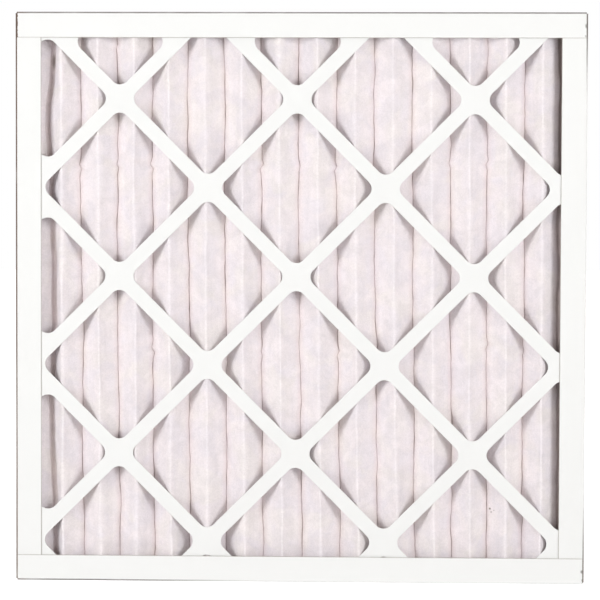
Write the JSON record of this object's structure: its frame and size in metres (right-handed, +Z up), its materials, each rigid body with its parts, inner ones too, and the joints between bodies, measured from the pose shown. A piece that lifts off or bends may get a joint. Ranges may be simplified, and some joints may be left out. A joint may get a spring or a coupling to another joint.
{
  "type": "pleated panel air filter",
  "caption": "Square flat panel filter: a pleated fibre sheet between die-cut diamond grids, in a frame of folded white board channels.",
  "frame": {"origin": "middle of the bottom edge that the panel stands on, midway between its two faces", "axes": "+X across the panel, to the right as its front is seen, +Y from the front face to the rear face, +Z up along the pleats"},
  "size_m": [0.4952, 0.019, 0.4953],
  "materials": {
    "frame_board": "matte",
    "grid_board": "matte",
    "filter_medium": "matte"
  },
  "bodies": {
    "root": {"top_channel": "frame_board", "bottom_channel": "frame_board", "left_channel": "frame_board", "right_channel": "frame_board", "front_grid": "grid_board", "rear_grid": "grid_board", "pleated_media": "filter_medium"}
  },
  "joints": []
}
